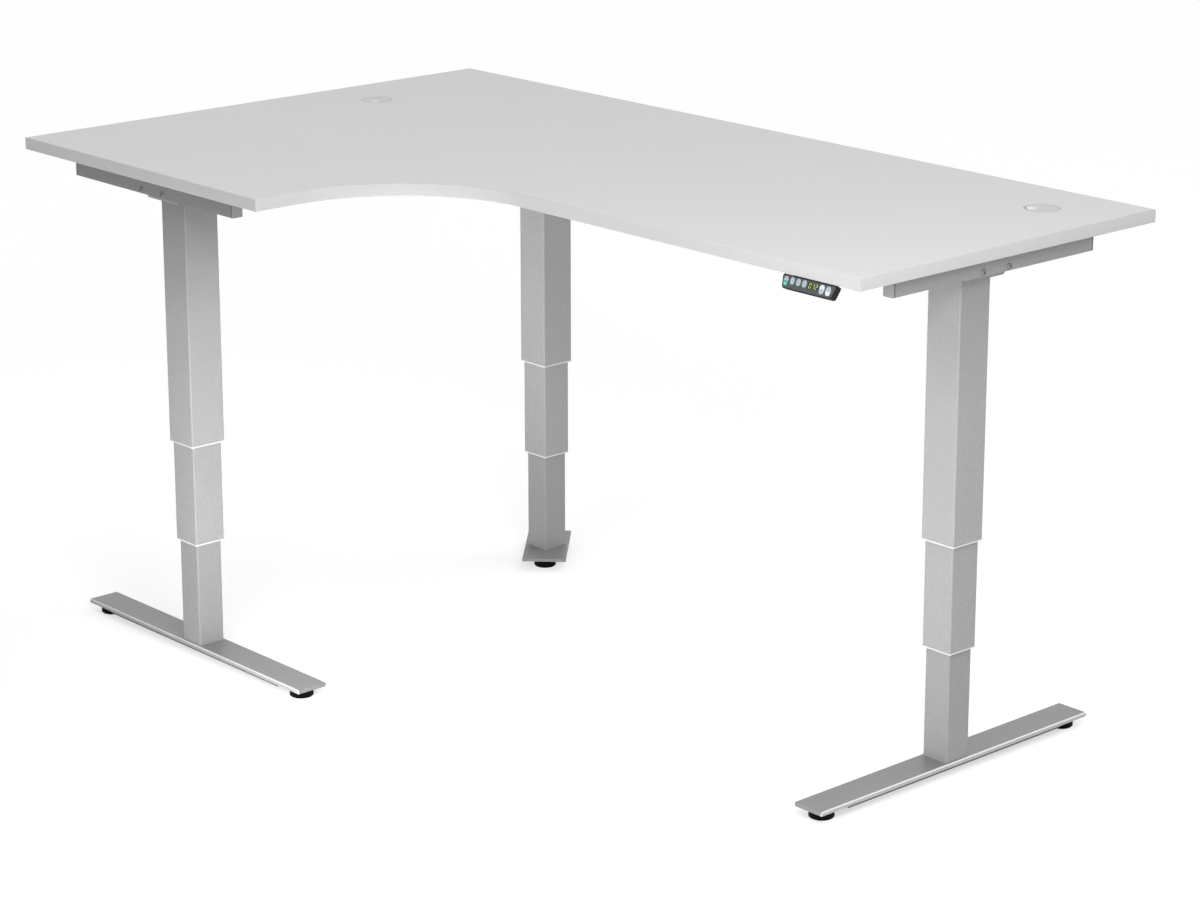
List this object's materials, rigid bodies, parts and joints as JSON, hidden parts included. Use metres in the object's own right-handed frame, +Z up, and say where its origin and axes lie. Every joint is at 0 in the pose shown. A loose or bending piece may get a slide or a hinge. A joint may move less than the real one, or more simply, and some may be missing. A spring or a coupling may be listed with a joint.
{
  "type": "height-adjustable corner desk",
  "caption": "Electric sit-stand corner desk with a concave inner edge, on telescopic columns with flat feet, with cable grommets and a keypad under its front edge.",
  "frame": {"origin": "on the floor, under the middle of the worktop's overall rectangle", "axes": "+X to the right along the long back edge, +Y towards the back, +Z up; the user stands on the -Y side"},
  "size_m": [2, 1.2, 1.03],
  "materials": {
    "board": "light grey satin melamine",
    "board_edge": "light grey satin edging",
    "silver": "satin silver powder coat",
    "motor": "black painted housing",
    "steel": "zinc-plated",
    "collar": "light grey moulding",
    "grommet": "light grey moulding",
    "black": "black moulding",
    "panel": "dark anthracite face",
    "key_grey": "grey-blue keys",
    "key_teal": "teal key",
    "key_pale": "pale blue keys"
  },
  "bodies": {
    "corner_base": {"corner_foot": "silver", "corner_lower_tube": "silver", "corner_lower_guide": "collar"},
    "left_base": {"left_foot": "silver", "left_foot_bar": "silver", "left_lower_tube": "silver", "left_lower_guide": "collar"},
    "right_base": {"right_foot": "silver", "right_foot_bar": "silver", "right_lower_tube": "silver", "right_lower_guide": "collar"},
    "corner_middle": {"corner_middle_tube": "silver", "corner_middle_collar": "collar", "corner_middle_nut": "collar"},
    "left_middle": {"left_middle_tube": "silver", "left_middle_collar": "collar", "left_middle_nut": "collar"},
    "right_middle": {"right_middle_tube": "silver", "right_middle_collar": "collar", "right_middle_nut": "collar"},
    "desk_top": {"worktop": "board", "edge_band": "board_edge", "corner_outer_tube": "silver", "left_outer_tube": "silver", "right_outer_tube": "silver", "outer_collars": "collar", "corner_motor": "motor", "left_motor": "motor", "right_motor": "motor", "corner_head_bracket": "silver", "left_head_bracket": "silver", "right_head_bracket": "silver", "left_rail": "silver", "right_rail": "silver", "rail_end_caps": "collar", "side_beam": "silver", "back_beam": "silver", "frame_fasteners": "steel", "control_box": "black", "grommet_sleeves": "grommet", "handset_housing": "black", "handset_panel": "panel"},
    "corner_spindle": {"corner_spindle": "steel"},
    "left_spindle": {"left_spindle": "steel"},
    "right_spindle": {"right_spindle": "steel"},
    "corner_glide_front": {"corner_glide_front": "black"},
    "corner_glide_rear": {"corner_glide_rear": "black"},
    "left_glide_outer": {"left_glide_outer": "black"},
    "left_glide_inner": {"left_glide_inner": "black"},
    "right_glide_front": {"right_glide_front": "black"},
    "right_glide_rear": {"right_glide_rear": "black"},
    "left_grommet_cap": {"left_grommet_cap": "grommet"},
    "right_grommet_cap": {"right_grommet_cap": "grommet"},
    "handset_key_save": {"handset_key_save": "key_grey"},
    "handset_key_lock": {"handset_key_lock": "key_teal"},
    "handset_key_1": {"handset_key_1": "key_grey"},
    "handset_key_2": {"handset_key_2": "key_grey"},
    "handset_key_3": {"handset_key_3": "key_grey"},
    "handset_key_up": {"handset_key_up": "key_pale"},
    "handset_key_down": {"handset_key_down": "key_pale"}
  },
  "joints": [
    {"name": "desk_lift", "type": "slide", "parent": "corner_middle", "child": "desk_top", "axis": [0, 0, 1], "range_m": [-0.195, 0.13]},
    {"name": "corner_middle_lift", "type": "slide", "parent": "corner_base", "child": "corner_middle", "axis": [0, 0, 1], "range_m": [-0.195, 0.13]},
    {"name": "left_middle_lift", "type": "slide", "parent": "desk_top", "child": "left_middle", "axis": [0, 0, -1], "range_m": [-0.195, 0.13]},
    {"name": "left_base_lift", "type": "slide", "parent": "left_middle", "child": "left_base", "axis": [0, 0, -1], "range_m": [-0.195, 0.13]},
    {"name": "right_middle_lift", "type": "slide", "parent": "desk_top", "child": "right_middle", "axis": [0, 0, -1], "range_m": [-0.195, 0.13]},
    {"name": "right_base_lift", "type": "slide", "parent": "right_middle", "child": "right_base", "axis": [0, 0, -1], "range_m": [-0.195, 0.13]},
    {"name": "corner_spindle_turn", "type": "hinge", "parent": "desk_top", "child": "corner_spindle", "pos_m": [-0.538, 0.426, 0.9], "axis": [0, 0, 1], "range_deg": [-7200, 4800]},
    {"name": "left_spindle_turn", "type": "hinge", "parent": "desk_top", "child": "left_spindle", "pos_m": [-0.55, -0.508, 0.9], "axis": [0, 0, 1], "range_deg": [-7200, 4800]},
    {"name": "right_spindle_turn", "type": "hinge", "parent": "desk_top", "child": "right_spindle", "pos_m": [0.908, 0.158, 0.9], "axis": [0, 0, 1], "range_deg": [-7200, 4800]},
    {"name": "corner_glide_front_turn", "type": "hinge", "parent": "corner_base", "child": "corner_glide_front", "pos_m": [-0.49416, 0.38216, 0.018], "axis": [0, 0, 1], "range_deg": [-360, 360]},
    {"name": "corner_glide_rear_turn", "type": "hinge", "parent": "corner_base", "child": "corner_glide_rear", "pos_m": [-0.58184, 0.46984, 0.018], "axis": [0, 0, 1], "range_deg": [-360, 360]},
    {"name": "left_glide_outer_turn", "type": "hinge", "parent": "left_base", "child": "left_glide_outer", "pos_m": [-0.884, -0.508, 0.018], "axis": [0, 0, 1], "range_deg": [-360, 360]},
    {"name": "left_glide_inner_turn", "type": "hinge", "parent": "left_base", "child": "left_glide_inner", "pos_m": [-0.216, -0.508, 0.018], "axis": [0, 0, 1], "range_deg": [-360, 360]},
    {"name": "right_glide_front_turn", "type": "hinge", "parent": "right_base", "child": "right_glide_front", "pos_m": [0.908, -0.176, 0.018], "axis": [0, 0, 1], "range_deg": [-360, 360]},
    {"name": "right_glide_rear_turn", "type": "hinge", "parent": "right_base", "child": "right_glide_rear", "pos_m": [0.908, 0.492, 0.018], "axis": [0, 0, 1], "range_deg": [-360, 360]},
    {"name": "left_grommet_cap_turn", "type": "hinge", "parent": "desk_top", "child": "left_grommet_cap", "pos_m": [-0.84, 0.2, 1.03], "axis": [0, 0, 1], "continuous": true},
    {"name": "right_grommet_cap_turn", "type": "hinge", "parent": "desk_top", "child": "right_grommet_cap", "pos_m": [0.85, 0.45, 1.03], "axis": [0, 0, 1], "continuous": true},
    {"name": "key_save_press", "type": "slide", "parent": "desk_top", "child": "handset_key_save", "axis": [0, 0.9205, -0.3907], "range_m": [0, 0.0006], "stiffness_N_per_m": 1500},
    {"name": "key_lock_press", "type": "slide", "parent": "desk_top", "child": "handset_key_lock", "axis": [0, 0.9205, -0.3907], "range_m": [0, 0.0006], "stiffness_N_per_m": 1500},
    {"name": "key_1_press", "type": "slide", "parent": "desk_top", "child": "handset_key_1", "axis": [0, 0.9205, -0.3907], "range_m": [0, 0.0006], "stiffness_N_per_m": 1500},
    {"name": "key_2_press", "type": "slide", "parent": "desk_top", "child": "handset_key_2", "axis": [0, 0.9205, -0.3907], "range_m": [0, 0.0006], "stiffness_N_per_m": 1500},
    {"name": "key_3_press", "type": "slide", "parent": "desk_top", "child": "handset_key_3", "axis": [0, 0.9205, -0.3907], "range_m": [0, 0.0006], "stiffness_N_per_m": 1500},
    {"name": "key_up_press", "type": "slide", "parent": "desk_top", "child": "handset_key_up", "axis": [0, 0.9205, -0.3907], "range_m": [0, 0.0006], "stiffness_N_per_m": 1500},
    {"name": "key_down_press", "type": "slide", "parent": "desk_top", "child": "handset_key_down", "axis": [0, 0.9205, -0.3907], "range_m": [0, 0.0006], "stiffness_N_per_m": 1500}
  ],
  "couplings": [
    {"joint": "corner_middle_lift", "follows": "desk_lift", "ratio": 1},
    {"joint": "left_middle_lift", "follows": "desk_lift", "ratio": 1},
    {"joint": "left_base_lift", "follows": "desk_lift", "ratio": 1},
    {"joint": "right_middle_lift", "follows": "desk_lift", "ratio": 1},
    {"joint": "right_base_lift", "follows": "desk_lift", "ratio": 1},
    {"joint": "corner_spindle_turn", "follows": "desk_lift", "rad_per_m": 628.32},
    {"joint": "left_spindle_turn", "follows": "desk_lift", "rad_per_m": 628.32},
    {"joint": "right_spindle_turn", "follows": "desk_lift", "rad_per_m": 628.32}
  ]
}
